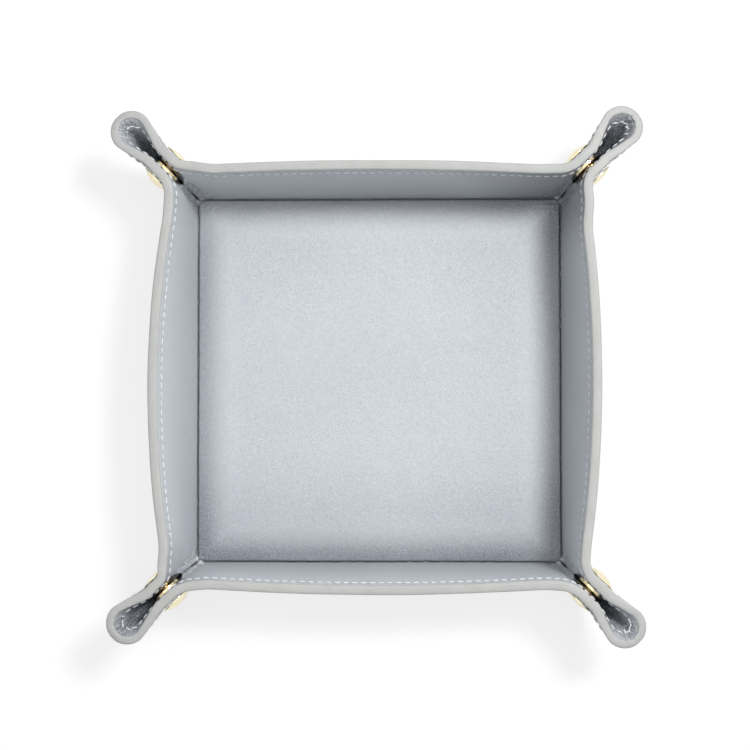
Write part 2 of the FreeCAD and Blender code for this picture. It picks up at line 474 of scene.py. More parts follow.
def slab(name, front, back, front_normals, back_normals, material, marks=None):
    """Closed sheet between two grids; marks are point attributes for its material, by name."""
    columns, rows = front.shape[:2]
    index = np.arange(columns * rows).reshape(columns, rows)
    border = np.concatenate([index[:-1, 0], index[-1, :-1], index[:0:-1, -1], index[0, :0:-1]])
    after = np.roll(border, -1)
    points = np.concatenate([front.reshape(-1, 3), back.reshape(-1, 3)])
    front_quads = grid_quads(index)
    back_quads = front_quads[:, ::-1] + index.size
    sides = np.stack([after, border, border + index.size, after + index.size], axis=-1)
    if np.sum(outward_normals(front) * front_normals) < 0:
        front_quads, back_quads, sides = front_quads[:, ::-1], back_quads[:, ::-1], sides[:, ::-1]
    faces = np.concatenate([front_quads, back_quads, sides])
    smooth = np.concatenate([front_normals.reshape(-1, 3), back_normals.reshape(-1, 3)])
    normals = np.concatenate([smooth[front_quads], smooth[back_quads], flat_normals(points, sides)])
    piece = new_piece(name, points.tolist(), faces.tolist(), material, normals)
    for mark, values in (marks or {}).items():
        attribute = piece.data.attributes.new(mark, "FLOAT", "POINT")
        attribute.data.foreach_set("value", np.tile(values.reshape(-1), 2).astype(np.float32))
    return piece


def tube(name, rings, normals, material, run):
    """Closed tube through rings of points, with capped ends and a map of run and turn."""
    columns, around = rings.shape[:2]
    index = np.arange(columns * around).reshape(columns, around)
    looped = np.concatenate([index, index[:, :1]], axis=1)
    quads = grid_quads(looped)
    points = rings.reshape(-1, 3)
    if np.sum(flat_normals(points, quads)[:, 0] * normals.reshape(-1, 3)[quads[:, 0]]) < 0:
        quads = quads[:, ::-1]
        caps = [index[0].tolist(), index[-1, ::-1].tolist()]
    else:
        caps = [index[0, ::-1].tolist(), index[-1].tolist()]
    forward = rings[-1].mean(axis=0) - rings[-2].mean(axis=0)
    backward = rings[0].mean(axis=0) - rings[1].mean(axis=0)
    ends = [np.tile(unit(way), (around, 1)) for way in (backward, forward)]
    loop_normals = np.concatenate([normals.reshape(-1, 3)[quads].reshape(-1, 3)] + ends)
    piece = new_piece(name, points.tolist(), quads.tolist() + caps, material, loop_normals)
    places = np.repeat(run, around)
    turns = np.tile(np.arange(around) / around, columns)
    layer = piece.data.uv_layers.new(name="rim")
    corners = np.zeros(len(piece.data.loops), np.int32)
    piece.data.loops.foreach_get("vertex_index", corners)
    layer.data.foreach_set("uv", np.column_stack([places, turns])[corners].astype(np.float32).ravel())
    return piece


def bend_between(piece):
    """Bakes the piece's transform into its mesh."""
    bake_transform(piece)
    return piece


print("builders ready, sheet of", round(sheet * 1000, 2), "mm")

# %% [markdown]
# ## Finishes
# Every finish is a small tree of nodes that reads the piece's own coordinates, so nothing slides when it moves.
# The same few nodes come back in each tree, so we give them short names first. Noise mostly lies between 0.3
# and 0.7, and `from_noise` stretches that span over the values that we want.

# %% Node helpers
noise_low = 0.3
noise_high = 0.7


class Nodes:
    """Short ways to add nodes to one tree. An input is a plain value or another node's output."""

    def __init__(self, tree):
        self.tree = tree

    def feed(self, socket, value):
        if isinstance(value, bpy.types.NodeSocket):
            self.tree.links.new(value, socket)
        else:
            socket.default_value = value

    def add(self, kind, inputs=None, **settings):
        node = self.tree.nodes.new(kind)
        for name, value in settings.items():
            setattr(node, name, value)
        for name, value in (inputs or {}).items():
            self.feed(node.inputs[name], value)
        return node

    def object_place(self):
        return self.add("ShaderNodeTexCoord").outputs["Object"]

    def stretched(self, place, scale):
        return self.add("ShaderNodeMapping", {"Vector": place, "Scale": scale}).outputs["Vector"]

    def mark(self, name):
        return self.add("ShaderNodeAttribute", attribute_name=name).outputs["Fac"]

    def noise(self, place, size, detail, roughness):
        inputs = {"Vector": place, "Scale": 1 / size, "Detail": detail, "Roughness": roughness}
        return self.add("ShaderNodeTexNoise", inputs).outputs["Fac"]

    def cells(self, place, size, feature="F1"):
        inputs = {"Vector": place, "Scale": 1 / size}
        return self.add("ShaderNodeTexVoronoi", inputs, feature=feature).outputs["Distance"]

    def spread(self, value, low, high, start, end):
        inputs = {"Value": value, "From Min": low, "From Max": high, "To Min": start, "To Max": end}
        return self.add("ShaderNodeMapRange", inputs).outputs["Result"]

    def from_noise(self, value, start, end):
        return self.spread(value, noise_low, noise_high, start, end)

    def math(self, operation, first, second):
        inputs = {0: first, 1: second}
        return self.add("ShaderNodeMath", inputs, operation=operation).outputs["Value"]

    def plus(self, first, second):
        return self.math("ADD", first, second)

    def minus(self, first, second):
        return self.math("SUBTRACT", first, second)

    def times(self, first, second):
        return self.math("MULTIPLY", first, second)

    def mix(self, share, first, second):
        inputs = {0: share, 6: first, 7: second}
        return self.add("ShaderNodeMix", inputs, data_type="RGBA").outputs[2]


class Finish(Nodes):
    """The node tree of one new material, with its shader at hand."""

    def __init__(self, name):
        self.material = bpy.data.materials.new(name)
        self.material.use_nodes = True
        super().__init__(self.material.node_tree)
        self.shader = self.tree.nodes["Principled BSDF"]

    def bump(self, strength, distance, height):
        inputs = {"Strength": strength, "Distance": distance, "Height": height}
        return self.add("ShaderNodeBump", inputs).outputs["Normal"]

    def shade(self, shader_inputs):
        for name, value in shader_inputs.items():
            self.feed(self.shader.inputs[name], value)
        return self.material


def colour(red, green, blue):
    """A colour given as it looks on screen, 0 to 255, turned to linear light."""
    channels = [value / 255 for value in (red, green, blue)]
    linear = [value / 12.92 if value <= 0.04045 else ((value + 0.055) / 1.055) ** 2.4 for value in channels]
    return (*linear, 1.0)


print("mid grey in linear light:", round(colour(128, 128, 128)[0], 3))

# %% [markdown]
# ### Lining and outer leather
# Leather is a coloured base with a satin film. Three scales matter: slow drifts of colour across the hide,
# pebbles about half a millimetre wide, and the fine creases where it is squeezed. Pebbles come from a cell
# texture, whose distance is highest between cells, so it is turned over to make each cell a small dome.
# Point attributes say where: `grain` is strong on the base and `crease` in the corners. `deep` is painted shade:
# it blends the colour towards a dark shadow colour in the folds, the groove, inside the loops and in darker
# corners. `pale` is painted light over an even pale tone: it blends towards a bright silver where the leather
# should look lit. The crinkles get painted glints, and painted shade in their hollows. `run` and `fall` are
# places along the rim and below it, for the crinkles in the nose. Both leathers share one recipe with other
# values.

# %% Leather
# Silver that the pale mark blends towards: an even pale tone, and painted light.
silver_tone_and_painted_light = colour(240, 243, 246)
crinkles_along = 1900
crinkles_down = 260


def crinkles(nodes):
    """Fine folds that run down from the rim and close up round the nose."""
    along = nodes.times(nodes.mark("run"), crinkles_along)
    down = nodes.times(nodes.mark("fall"), crinkles_down)
    place = nodes.add("ShaderNodeCombineXYZ", {"X": along, "Y": down}).outputs["Vector"]
    return nodes.noise(place, 1.0, 2.0, 0.6)


def leather(name, shadow, deep, pale, pebble_size, pebble_depth, roughness, metal):
    nodes = Finish(name)
    place = nodes.object_place()
    grain = nodes.mark("grain")
    crease = nodes.mark("crease")
    drift = nodes.noise(place, 0.03, 2.0, 0.5)
    mottle = nodes.noise(place, 0.0016, 3.0, 0.6)
    pebble = nodes.cells(place, pebble_size)
    pores = nodes.noise(place, pebble_size / 3, 2.0, 0.6)
    cracks = nodes.cells(place, 0.0008, "DISTANCE_TO_EDGE")
    folds = crinkles(nodes)
    tone = nodes.plus(nodes.from_noise(drift, 0.4, 0.55), nodes.from_noise(mottle, 0.0, 0.25))
    tone = nodes.minus(tone, nodes.times(nodes.spread(pebble, 0.1, 0.7, 0.0, 0.45), grain))
    # Painted glints and painted shade: where the leather is creased, the tone goes lighter on crack and fold
    # ridges and darker between them.
    painted_crinkle_light_and_shade = nodes.spread(cracks, 0.02, 0.3, -0.6, 0.6)
    painted_crinkle_light_and_shade = nodes.plus(painted_crinkle_light_and_shade, nodes.spread(folds, 0.35, 0.65, -0.8, 0.8))
    tinted = nodes.mix(nodes.plus(tone, nodes.times(painted_crinkle_light_and_shade, crease)), deep, pale)
    # Painted light: the pale mark blends the colour towards silver, and along crack lines in the creases less of
    # it is painted, so they stay darker.
    crack_lines = nodes.times(nodes.spread(cracks, 0.02, 0.25, 0.9, 0.0), crease)
    tone_and_painted_light_share = nodes.times(nodes.mark("pale"), nodes.minus(1.0, crack_lines))
    tinted = nodes.mix(tone_and_painted_light_share, tinted, silver_tone_and_painted_light)
    # Painted shade: the deep mark, and the hollows of the crinkles where the leather is creased, blend the
    # colour towards the shadow colour.
    painted_shade = nodes.times(nodes.mark("deep"), nodes.spread(cracks, 0.05, 0.4, 1.0, 0.6))
    painted_fold_shade = nodes.spread(folds, 0.35, 0.55, 0.3, 0.0)
    painted_fold_shade = nodes.plus(painted_fold_shade, nodes.spread(cracks, 0.0, 0.2, 0.2, 0.0))
    painted_shade = nodes.plus(painted_shade, nodes.times(painted_fold_shade, crease))
    polish = nodes.plus(drift, nodes.times(pebble, grain))
    dome = nodes.spread(pebble, 0.0, 0.8, 1.0, 0.0)
    height = nodes.times(nodes.plus(dome, nodes.from_noise(pores, 0.0, 0.35)), grain)
    ridge = nodes.plus(nodes.spread(cracks, 0.0, 0.35, 0.0, 0.6), nodes.from_noise(folds, 0.0, 1.0))
    height = nodes.plus(height, nodes.times(nodes.times(ridge, crease), 4))
    return nodes.shade({
        "Base Color": nodes.mix(painted_shade, tinted, shadow),
        "Roughness": nodes.spread(polish, 0.3, 1.2, *roughness),
        "Metallic": metal,
        "Normal": nodes.bump(1.0, pebble_depth, height),
    })


lining_finish = leather(
    "silver_lining_leather", shadow=colour(74, 78, 88), deep=colour(180, 185, 192), pale=colour(214, 218, 222),
    pebble_size=0.00055, pebble_depth=0.00005, roughness=(0.46, 0.58), metal=0.15)
outer_finish = leather(
    "pale_grey_outer_leather", shadow=colour(90, 93, 99), deep=colour(180, 184, 188), pale=colour(212, 215, 217),
    pebble_size=0.0008, pebble_depth=0.00008, roughness=(0.42, 0.56), metal=0.1)
print("leathers:", lining_finish.name, outer_finish.name)

# %% [markdown]
# ### Edge paint
# Edge paint is brushed on in several coats, so it shows faint streaks along the rim. The streaks follow the
# piece's own map, stretched along its length.

# %% Edge paint
def edge_paint():
    nodes = Finish("grey_edge_paint")
    along = nodes.add("ShaderNodeUVMap", uv_map="rim").outputs["UV"]
    streak = nodes.noise(nodes.stretched(along, (120, 30, 1)), 1.0, 3.0, 0.6)
    place = nodes.object_place()
    coats = nodes.noise(place, 0.006, 3.0, 0.5)
    specks = nodes.noise(place, 0.0009, 2.0, 0.5)
    tone = nodes.plus(nodes.from_noise(streak, 0.1, 0.6), nodes.from_noise(coats, 0.0, 0.3))
    tone = nodes.minus(tone, nodes.spread(specks, 0.66, 0.8, 0.0, 0.5))
    height = nodes.plus(streak, nodes.times(specks, 0.5))
    return nodes.shade({
        "Base Color": nodes.mix(tone, colour(188, 189, 187), colour(212, 213, 211)),
        "Roughness": nodes.from_noise(streak, 0.5, 0.62),
        "Normal": nodes.bump(0.6, 0.00004, height),
    })


edge_finish = edge_paint()
print("edge:", edge_finish.name)

# %% [markdown]
# ### Thread, metal and board
# Thread has fine fibres and a soft sheen, and a dark copy of it is painted shadow for the needle holes. The
# press-studs are polished pale gold with fine handling scratches. The socket rings get a darker copy of that
# gold and the studs that hide in the pinch a much darker one: painted shade for the shade in the pinch. The
# boards are grey pulp. Each is two noises, a fine one for the texture and a slow one for the drift of colour.

# %% Thread, gold and board
def thread(name, deep, pale):
    nodes = Finish(name)
    place = nodes.object_place()
    fibre = nodes.noise(place, 0.00022, 3.0, 0.6)
    drift = nodes.noise(place, 0.004, 2.0, 0.5)
    tone = nodes.plus(nodes.from_noise(fibre, 0.0, 0.6), nodes.from_noise(drift, 0.0, 0.4))
    return nodes.shade({
        "Base Color": nodes.mix(tone, deep, pale),
        "Roughness": nodes.from_noise(fibre, 0.28, 0.45),
        "Specular IOR Level": 0.8,
        "Sheen Weight": 0.25,
        "Normal": nodes.bump(0.8, 0.00005, fibre),
    })


def gold(name, deep, pale):
    nodes = Finish(name)
    place = nodes.object_place()
    scratch = nodes.noise(nodes.stretched(place, (1, 1, 9)), 0.0009, 4.0, 0.7)
    cloud = nodes.noise(place, 0.003, 2.0, 0.5)
    wear = nodes.plus(nodes.spread(scratch, 0.45, 0.75, 0.0, 0.12), nodes.from_noise(cloud, 0.1, 0.2))
    return nodes.shade({
        "Base Color": nodes.mix(nodes.from_noise(cloud, 0.0, 1.0), deep, pale),
        "Roughness": wear,
        "Metallic": 1.0,
        "Normal": nodes.bump(0.15, 0.00001, scratch),
    })


def pulp_board():
    nodes = Finish("grey_pulp_board")
    place = nodes.object_place()
    fleck = nodes.noise(place, 0.0007, 4.0, 0.65)
    cloud = nodes.noise(place, 0.009, 3.0, 0.5)
    tone = nodes.plus(nodes.from_noise(fleck, 0.0, 0.6), nodes.from_noise(cloud, 0.0, 0.4))
    return nodes.shade({
        "Base Color": nodes.mix(tone, colour(120, 114, 104), colour(168, 161, 149)),
        "Roughness": nodes.from_noise(fleck, 0.8, 0.95),
        "Normal": nodes.bump(0.5, 0.00008, fleck),
    })


thread_finish = thread("silver_thread", colour(224, 228, 233), colour(248, 250, 251))
# Painted shadow: dark grains of thread colour stand for the shade in the needle holes.
hole_painted_shadow_finish = thread("needle_hole_shadow", colour(104, 109, 118), colour(140, 145, 154))
cap_finish = gold("polished_pale_gold", colour(231, 219, 178), colour(243, 236, 206))
# Painted shade: the rings and studs sit in the pinch, so their gold is darker than the caps'.
ring_painted_shade_finish = gold("gold_with_painted_shade", colour(202, 183, 142), colour(226, 211, 174))
stud_painted_shade_finish = gold("gold_with_deep_painted_shade", colour(92, 78, 56), colour(122, 106, 78))
board_finish = pulp_board()
print("finishes:", len(bpy.data.materials))

# %% [markdown]
# ## The base panel
# The base is a lined board, flat underneath. Its lining is drawn over the board's edge and down into the fold,
# so seen from above it looks a little padded, with a dark line all round. A square grid with rounded corners
# can follow that: its height depends only on how far a point lies from the fold line.

# %% Shape of the base lining
base_reach = 0.0712
fine_from = 0.062
groove_height = 0.0011
edge_fall = 0.0007
crown = 0.00025
corner_middle = 0.0674
corner_size = 0.006
corner_crumple = 0.00022
padded_width = 0.007
lip_width = 0.0009
edge_wobble = 0.00008
swell_height = 0.00012
ripple_height = 0.00003


def base_lines():
    """Grid lines from side to side: close together near the edges, wider in the middle."""
    middle = np.linspace(-fine_from, fine_from, 63)
    edge = np.linspace(fine_from, base_reach, 32)[1:]
    return np.concatenate([-edge[::-1], middle, edge])


def rounded_square(lines, reach):
    """Square grid whose corners are pressed into quarter circles about the fold's corner centres."""
    x, y = np.meshgrid(lines, lines, indexing="ij")
    radius = reach - fold_along
    p = np.clip((np.abs(x) - fold_along) / radius, 0, 1)
    q = np.clip((np.abs(y) - fold_along) / radius, 0, 1)
    both = (p > 0) & (q > 0)
    round_x = np.where(both, fold_along + radius * p * np.sqrt(1 - q * q / 2), np.abs(x))
    round_y = np.where(both, fold_along + radius * q * np.sqrt(1 - p * p / 2), np.abs(y))
    return np.sign(x) * round_x, np.sign(y) * round_y


def inside_fold(x, y):
    """Distance of a point inside the base's fold line, negative outside it."""
    beyond_x = np.abs(x) - corner_middle
    beyond_y = np.abs(y) - corner_middle
    outside = np.hypot(np.maximum(beyond_x, 0), np.maximum(beyond_y, 0))
    return (half_base - corner_middle) - outside - np.minimum(np.maximum(beyond_x, beyond_y), 0)


def base_top(x, y):
    """Height of the lining, and how near a point is to a crumpled corner."""
    points = np.stack([x, y, np.zeros_like(x)], axis=-1)
    depth = inside_fold(x, y) + edge_wobble * waves(points, 0.005)
    soft = edge_fall * np.clip(1 - depth / padded_width, 0, 1) ** 2
    edge = (sheet - groove_height - edge_fall) * np.clip(1 - depth / lip_width, 0, 1) ** 2.2
    slow = swell_height * waves(points, 0.05) + ripple_height * waves(points, 0.011)
    off_corner = np.hypot(np.abs(x) - half_base, np.abs(y) - half_base)
    corner = np.exp(-((off_corner / corner_size) ** 2))
    crumple = corner_crumple * corner * (waves(points, 0.0022) - 0.3)
    top = sheet + crown * np.clip(depth / 0.05, 0, 1) - soft - edge
    top = top + (slow + crumple) * ramp(depth, 0, 0.003)
    return np.where(depth > 0, top, groove_height), corner


def height_normals(x, y, step=0.00005):
    fall_x = (base_top(x + step, y)[0] - base_top(x - step, y)[0]) / (2 * step)
    fall_y = (base_top(x, y + step)[0] - base_top(x, y - step)[0]) / (2 * step)
    return unit(np.stack([-fall_x, -fall_y, np.ones_like(x)], axis=-1))


base_x, base_y = rounded_square(base_lines(), base_reach)
base_heights, corner_share = base_top(base_x, base_y)
base_depth = inside_fold(base_x, base_y)
print("base grid:", base_x.shape[0], "lines each way")

# %% [markdown]
# The lining's colour has painted shade: it is darker in the groove and towards its edges, most of all at the
# front, on the right and in the back right corner, and less at the back left and front right corners. A painted
# highlight makes the middle a little paler. These marks follow what the photo shows. The back of the slab rests
# on the board and drops into the groove.

# %% Base lining
tucked_width = 0.0016
board_gap = 0.00002
groove_leather = 0.00045
base_front = np.stack([base_x, base_y, base_heights], axis=-1)
board_top = outer_leather + stiffener
underside = np.where(base_depth > tucked_width, board_top + board_gap, groove_height - groove_leather)
base_back = np.stack([base_x, base_y, underside], axis=-1)
facing_down = np.zeros_like(base_back) - np.array([0, 0, 1.0])
off_middle = np.hypot(base_x, base_y)
# Painted shade, blended in through the deep mark.
base_painted_shade = 0.55 * ramp(base_depth, 0.0006, 0.0) + 0.42 * ramp(base_depth, 0.014, 0.002)
base_painted_shade = base_painted_shade * (1 - 0.4 * corner_share) + 0.1 * ramp(off_middle, 0.05, 0.095)
base_painted_shade += 0.21 * ramp(base_y, -0.025, -0.068) + 0.05 * ramp(base_x, 0.01, 0.05)
base_painted_shade += 0.13 * ramp(base_x + base_y, 0.098, 0.128)
base_painted_shade -= 0.24 * ramp(np.abs(base_x - base_y), 0.112, 0.135)
base_marks = {
    "grain": 0.35 + 0.65 * ramp(base_depth, 0.004, 0.02),
    "crease": 0.8 * corner_share,
    "deep": np.maximum(base_painted_shade, 0),
    # Painted highlight: paler in the middle.
    "pale": 0.12 * ramp(off_middle, 0.07, 0.03),
}
lining_base = slab("lining_base", base_front, base_back, height_normals(base_x, base_y), facing_down,
                   lining_finish, base_marks)
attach(lining_base, "base")
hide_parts("base_lining")
print("base lining:", len(lining_base.data.polygons), "faces")

# %% [markdown]
# The underside is one flat square of the outer leather that stops where the sheet starts to roll up into the
# walls.

# %% Base underside
outer_root = 0.0685
under_x, under_y = rounded_square(np.linspace(-outer_root, outer_root, 61), outer_root)
under_front = np.stack([under_x, under_y, np.zeros_like(under_x)], axis=-1)
under_back = np.stack([under_x, under_y, np.full_like(under_x, outer_leather)], axis=-1)
down = np.zeros_like(under_front) - np.array([0, 0, 1.0])
outer_base = slab("outer_base", under_front, under_back, down, -down, outer_finish,
                  {"grain": np.ones_like(under_x), "crease": np.zeros_like(under_x)})
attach(outer_base, "base")
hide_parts("base_outer")
print("underside:", len(outer_base.data.polygons), "faces")

# %% [markdown]
# ## Walls and loops
# Each petal is cut into five pieces along its fold lines: the wall, a bend at each end and a loop at each end.
# When the studs open, the wall turns about its fold, the bend unrolls and the loop opens. Each piece is listed
# with two bodies and a weight for each column, how far round the fold it lies, but here the pieces are built in
# place and not bent. A cloth simulation could bend them too, but leather this thick bends in one place.

# %% Shares of columns and rows
flat_end = bend_columns + flat_columns
flap_weight = on_both_ends(straight_share(0, bend_columns))
lift_share = np.concatenate([shares(root_rows), np.ones(len(row_shares))])
shut_half = ramp(half_steps, bend_columns * 0.5, bend_columns)
shut_column = on_both_ends(shut_half)[:, None]
web_column = on_both_ends(shut_half * ramp(half_steps, flat_end, bend_columns))[:, None]
slot_column = on_both_ends(ramp(half_steps, bend_columns, flat_end))[:, None]
past_flat = on_both_ends(ramp(half_steps, bend_columns + flat_columns / 2, flat_end + flare_columns))[:, None]
nose_turn = on_both_ends(nose_share, mirror=-1)[:, None]
print("columns in the pinch:", int(np.count_nonzero(slot_column * (1 - past_flat))))

# %% [markdown]
# ### The lining of a wall
# Under the press-stud the lining is pressed shut, and a creased web of it shows in front of the stud. In the
# loop it leans over at the rim. Past the end of the board it drops and crumples, and round the nose it lies in
# small folds. The marks paint shade and light into the colour: painted shade inside the loop, in the fold at the
# foot, low on the walls, at the front left loop and towards the back right corner, and painted light near the
# rim and on the creased web.

# %% Face of the lining
lining_root = (0.06912, 0.0015, 0.35, 0.9)
shut_climb = 2.5
web_pull = 0.0015
web_gap = 0.015
loop_gap = 0.065
lip_lean = 0.001
lip_depth = 0.004
lip_aside = 0.0025
crumple_height = 0.00018
nose_fold_height = 0.00016
slow_wave_height = 0.00007
stud_reach = (0.1052, 0.1044)
stud_low = (0.0246, 0.0232)
shut_height = (0.0222, 0.0206)
loop_reach = (0.1145, 0.118)


def pinched(grid):
    """The grid with the lining pressed shut under the stud, and leaning over in the loop."""
    height = grid[:, :, 2]
    aside = np.sum(grid * aside_way[:, None], axis=2)
    reach = np.sum(grid * along_way[:, None], axis=2)
    before_stud = ramp(reach, *stud_reach) * ramp(height, *stud_low)
    shut = shut_column * np.maximum(ramp(height, *shut_height), before_stud)
    shut = shut * np.minimum(shut_climb * lift_share, 1)
    lip = lip_lean * (1 - np.exp(-below_rim(grid) / lip_depth)) * ramp(reach, *loop_reach)
    still_open = web_gap + loop_gap * past_flat
    aside_move = -(1 - still_open) * aside * shut - lip * np.clip(aside / lip_aside, 0, 1) * lift_share
    grid = grid + aside_way[:, None] * aside_move[:, :, None]
    pull = web_pull * (0.5 + ramp(height, foot_height, 0.02)) * web_column * shut
    return grid - along_way[:, None] * pull[:, :, None]


def lining_front(turns):
    """The inner face of a petal, and the marks for its material."""
    grid = pinched(leaning_petal(turns, 0, lining_root))
    height = grid[:, :, 2]
    inward = -outward_normals(grid)
    place = turn_quarter(grid, turns)
    rows = below_rim(grid)
    squeezed = ramp(past_board(grid), 0, board_step_width)
    low = 1 - ramp(height, 0.02, 0.03) * (1 - on_nose)
    web = shut_column * (1 - past_flat) * ramp(height, 0.030, 0.025)
    crumpled = np.maximum(squeezed * low, web)
    crease = crumpled * (0.75 + 0.25 * on_nose)
    folds = np.sin(nose_turn * 62 + 2.5 * waves(place, 0.012))
    folds = folds + 0.6 * np.sin(nose_turn * 93 + 2 * waves(place, 0.007))
    nose = on_nose * (0.5 + 0.5 * ramp(rows, 0.0, 0.003))
    move = -seam_and_edge(grid) - board_step * squeezed * ramp(rows, 0.004, 0.010)
    move = move + crumple_height * crease * (waves(place, 0.0025) - 0.2) + nose_fold_height * folds * nose
    move = move + slow_wave_height * waves(place, 0.045) * ramp(rows, 0.003, 0.012)
    # Painted shade through the deep mark: darker inside the loop, in the fold at the foot, low on the walls,
    # towards the back right corner and at the front left loop.
    slot = slot_column * np.maximum(past_flat, ramp(height, 0.022, 0.026))
    deep = (0.74 - 0.42 * on_nose) * slot * ramp(rows, -0.001, 0.011)
    deep = deep + 0.8 * ramp(lift_share, 0.4, 0.0) * (1 - shut_column)
    deep = deep + 0.14 * ramp(height, 0.022, 0.004) * (1 - squeezed)
    back_right = ramp(place[:, :, 0] + 1.6 * place[:, :, 1], 0.14, 0.182) * (1 - 0.7 * on_nose)
    front_left = ramp(-place[:, :, 0] - place[:, :, 1], 0.128, 0.148) * (1 - 0.5 * on_nose)
    deep = deep + 0.4 * back_right + 0.3 * front_left * ramp(height, 0.014, 0.022)
    # Painted light through the pale mark: paler near the rim and on the creased web, over an even pale tone of
    # 0.12.
    pale = 0.5 * ramp(rows, 0.024, 0.001) * (1 - slot) * (1 - 0.5 * on_nose)
    pale = pale + 0.12 + 0.7 * crumpled * (1 - past_flat)
    marks = {"crease": crease, "deep": deep, "pale": pale}
    marks = {name: np.clip(values, 0, 1) for name, values in marks.items()}
    marks["run"] = np.repeat(rim_places(grid)[:, None], grid.shape[1], axis=1)
    marks["fall"] = rows
    marks["grain"] = np.broadcast_to(0.3 + 0.5 * on_nose, rows.shape)
    return grid + inward * (move * lift_share)[:, :, None], marks


print("lining pressed shut below", shut_height[0] * 1000, "mm")

# %% [markdown]
# ### Five pieces of each petal
# The outer face is plainer: seam, rolled edge and slow waves. Both layers are then cut into the same pieces. A
# wall keeps room for its board between the leathers, while in the bends and loops the leathers meet halfway.

# %% Leather pieces
outer_wave_height = 0.00006
outer_nose_height = 0.00005
outer_front_root = (outer_root, 0, 1.25, 0)
outer_back_root = (outer_root, outer_leather, 1.1, 0.1)
lining_back_root = (lining_root[0] + 0.0007, lining_root[1] - 0.0001, 0.5, 0.8)


def outer_front(turns):
    grid = leaning_petal(turns, sheet, outer_front_root)
    place = turn_quarter(grid, turns)
    move = -seam_and_edge(grid) + outer_wave_height * waves(place, 0.04)
    move = move + outer_nose_height * waves(place, 0.006) * on_nose
    return grid + outward_normals(grid) * (move * lift_share)[:, :, None]


def petal_pieces(turns):
    """Names, column ranges, bodies and weights of the five pieces of one petal."""
    wall = "wall_" + wall_names[turns]
    stud = corner_names[turns] + "_stud"
    cap = corner_names[turns - 1] + "_cap"
    right_pinch = wall_right + pinch_middle
    left_pinch = wall_left - pinch_middle
    return [
        (wall, wall_left, wall_right, "base", wall, None),
        ("flap_" + stud, wall_right, right_pinch, wall, "flap_" + stud, flap_weight),
        ("flap_" + cap, left_pinch, wall_left, wall, "flap_" + cap, flap_weight),
        ("loop_" + stud, right_pinch, wall_right + nose_tip, "flap_" + stud, "loop_" + stud, nose_column),
        ("loop_" + cap, wall_left - nose_tip, left_pinch, "flap_" + cap, "loop_" + cap, nose_column),
    ]


def leather_pieces(layer, turns, faces, side, finish, marks):
    front = faces[layer]
    normals = side * outward_normals(front)
    for name, first, last, start_body, end_body, weights in petal_pieces(turns):
        columns = slice(first, last + 1)
        is_wall = weights is None
        rear = faces[layer + "_wall_back"] if is_wall else faces[layer + "_back"]
        piece_marks = {mark: values[columns] for mark, values in marks.items()}
        piece = slab(layer + "_" + name, front[columns], rear[columns], normals[columns], -normals[columns],
                     finish, piece_marks)
        bend_between(piece)
        if not name.startswith("flap"):
            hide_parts(name + "_" + layer)


petals = []
for turns in range(len(wall_names)):
    inner, lining_marks = lining_front(turns)
    faces = {
        "lining": inner,
        "lining_back": leaning_petal(turns, sheet / 2, lining_back_root),
        "lining_wall_back": leaning_petal(turns, lining_leather, lining_back_root),
        "outer": outer_front(turns),
        "outer_back": leaning_petal(turns, sheet / 2, outer_back_root),
        "outer_wall_back": leaning_petal(turns, sheet - outer_leather, outer_back_root),
    }
    faces = {name: turn_quarter(grid, turns) for name, grid in faces.items()}
    petals.append(faces)
    even = np.ones(inner.shape[:2])
    leather_pieces("lining", turns, faces, -1, lining_finish, lining_marks)
    leather_pieces("outer", turns, faces, 1, outer_finish, {"grain": even, "crease": 0 * even})
print("leather pieces:", 2 * len(petals) * len(petal_pieces(0)) + 2)

# %% [markdown]
# ## Edge paint
# The cut edges of the leathers are coated with grey paint. On the real tray it is a soft, slightly crowned band
# as wide as the sheet. We sweep one rounded profile along the top of each petal. The profile is a flattened
# ellipse, with its lower half sunk into the leather.

# %% Edge bands
band_crown = 0.0006
band_skirt = 0.0008
band_lip = 0.0002
band_points = 22
band_squareness = 2.3
climb_row = -9


def band_rings(faces):
    inner_top = faces["lining"][:, -1]
    outer_top = faces["outer"][:, -1]
    across = outer_top - inner_top
    width = np.linalg.norm(across, axis=1, keepdims=True)
    across = across / width
    climb = inner_top + outer_top - faces["lining"][:, climb_row] - faces["outer"][:, climb_row]
    climb = unit(climb - across * np.sum(climb * across, axis=1, keepdims=True))
    angle = np.arange(band_points) * 2 * math.pi / band_points
    wide = np.sign(np.cos(angle)) * np.abs(np.cos(angle)) ** (2 / band_squareness)
    tall = np.sign(np.sin(angle)) * np.abs(np.sin(angle)) ** (2 / band_squareness)
    tall = np.where(tall > 0, tall * band_crown, tall * band_skirt)
    middle = (inner_top + outer_top) / 2
    reach = (width / 2 + band_lip)[:, :, None] * wide[None, :, None]
    return middle[:, None] + across[:, None] * reach + climb[:, None] * tall[None, :, None]


def ring_normals(rings):
    wrapped = np.concatenate([rings[:, -1:], rings, rings[:, :1]], axis=1)
    normal = outward_normals(wrapped)[:, 1:-1]
    out = rings - rings.mean(axis=1, keepdims=True)
    return normal if np.sum(normal * out) > 0 else -normal


for turns, faces in enumerate(petals):
    rings = band_rings(faces)
    normals = ring_normals(rings)
    run = travelled(rings.mean(axis=1))
    for name, first, last, start_body, end_body, weights in petal_pieces(turns):
        columns = slice(first, last + 1)
        band = tube("edge_" + name, rings[columns], normals[columns], edge_finish, run[columns])
        if weights is None:
            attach(band, end_body)
        else:
            bend_between(band)
print("edge bands:", len(petals) * len(petal_pieces(0)))
